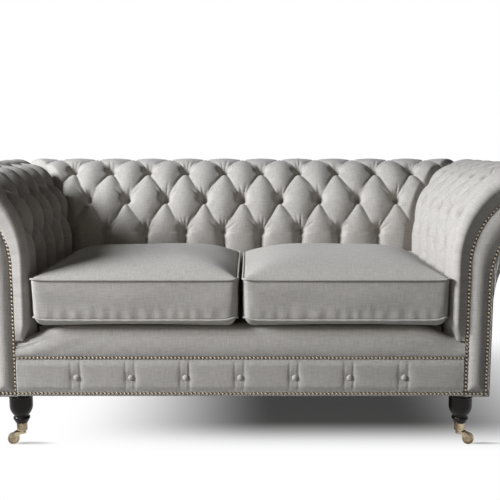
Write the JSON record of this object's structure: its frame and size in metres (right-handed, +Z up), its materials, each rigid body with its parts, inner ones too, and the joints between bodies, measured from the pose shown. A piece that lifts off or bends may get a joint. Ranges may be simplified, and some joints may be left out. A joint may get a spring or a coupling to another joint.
{
  "type": "chesterfield sofa",
  "caption": "Two-seat chesterfield sofa with deep-buttoned rolled arms and back, loose piped seat cushions, nailed scroll facings, and turned front feet on swivel castors.",
  "frame": {"origin": "middle of the bounding box in plan, on the floor", "axes": "+X to the right as seen from the front, along the sofa; +Y to the back; +Z up"},
  "size_m": [1.7452, 0.8616, 0.7874],
  "materials": {
    "linen": "woven linen, matt",
    "platform_cloth": "plain cloth over a fibre pad, matt",
    "foam": "open-cell foam, matt",
    "webbing": "woven elastic strap",
    "black_cloth": "thin black cloth",
    "frame_wood": "planed hardwood, bare",
    "bent_ply": "bent plywood, bare",
    "dark_wood": "dark stain under gloss lacquer",
    "castor_brass": "antiqued satin",
    "nail_brass": "antiqued, dark in the recesses",
    "steel": "zinc plated"
  },
  "bodies": {
    "sofa": {"front_seat_rail": "frame_wood", "rear_seat_rail": "frame_wood", "left_side_rail": "frame_wood", "right_side_rail": "frame_wood", "centre_cross_rail": "frame_wood", "corner_blocks": "frame_wood", "back_uprights": "frame_wood", "back_top_rails": "frame_wood", "back_tacking_rails": "frame_wood", "left_arm_front_board": "frame_wood", "left_arm_rear_board": "frame_wood", "left_arm_top_rail": "frame_wood", "left_arm_tacking_rail": "frame_wood", "right_arm_front_board": "frame_wood", "right_arm_rear_board": "frame_wood", "right_arm_top_rail": "frame_wood", "right_arm_tacking_rail": "frame_wood", "back_lining": "bent_ply", "left_arm_lining": "bent_ply", "right_arm_lining": "bent_ply", "back_pad": "linen", "seat_border": "linen", "front_apron": "linen", "outside_back_panel": "linen", "back_buttons": "linen", "apron_buttons": "linen", "left_arm_pad": "linen", "left_arm_facing": "linen", "left_outside_arm_panel": "linen", "left_arm_buttons": "linen", "right_arm_pad": "linen", "right_arm_facing": "linen", "right_outside_arm_panel": "linen", "right_arm_buttons": "linen", "seat_deck": "platform_cloth", "seat_webbing": "webbing", "dust_cover": "black_cloth", "rail_nails": "nail_brass", "left_facing_nails": "nail_brass", "right_facing_nails": "nail_brass", "foot_bolts": "steel", "tee_nuts": "steel", "left_front_foot": "dark_wood", "left_rear_foot": "dark_wood", "left_castor_cup": "castor_brass", "right_front_foot": "dark_wood", "right_rear_foot": "dark_wood", "right_castor_cup": "castor_brass"},
    "left_castor_swivel": {"left_castor_horn": "castor_brass", "left_castor_axle": "castor_brass"},
    "left_castor_roller": {"left_castor_wheel": "castor_brass"},
    "left_cushion": {"left_cushion_cover": "linen", "left_cushion_core": "foam", "left_cushion_piping": "linen"},
    "right_castor_swivel": {"right_castor_horn": "castor_brass", "right_castor_axle": "castor_brass"},
    "right_castor_roller": {"right_castor_wheel": "castor_brass"},
    "right_cushion": {"right_cushion_cover": "linen", "right_cushion_core": "foam", "right_cushion_piping": "linen"}
  },
  "joints": [
    {"name": "left_castor_swivel", "type": "hinge", "parent": "sofa", "child": "left_castor_swivel", "pos_m": [-0.618, -0.36326, 0.04], "axis": [0, 0, 1], "continuous": true},
    {"name": "left_castor_roll", "type": "hinge", "parent": "left_castor_swivel", "child": "left_castor_roller", "pos_m": [-0.64118, -0.36947, 0.0165], "axis": [-0.2588, 0.9659, 0], "continuous": true},
    {"name": "left_cushion_lift", "type": "slide", "parent": "sofa", "child": "left_cushion", "axis": [0, 0, 1], "range_m": [0, 0.45]},
    {"name": "right_castor_swivel", "type": "hinge", "parent": "sofa", "child": "right_castor_swivel", "pos_m": [0.618, -0.36326, 0.04], "axis": [0, 0, 1], "continuous": true},
    {"name": "right_castor_roll", "type": "hinge", "parent": "right_castor_swivel", "child": "right_castor_roller", "pos_m": [0.64118, -0.36947, 0.0165], "axis": [0.2588, 0.9659, 0], "continuous": true},
    {"name": "right_cushion_lift", "type": "slide", "parent": "sofa", "child": "right_cushion", "axis": [0, 0, 1], "range_m": [0, 0.45]}
  ]
}
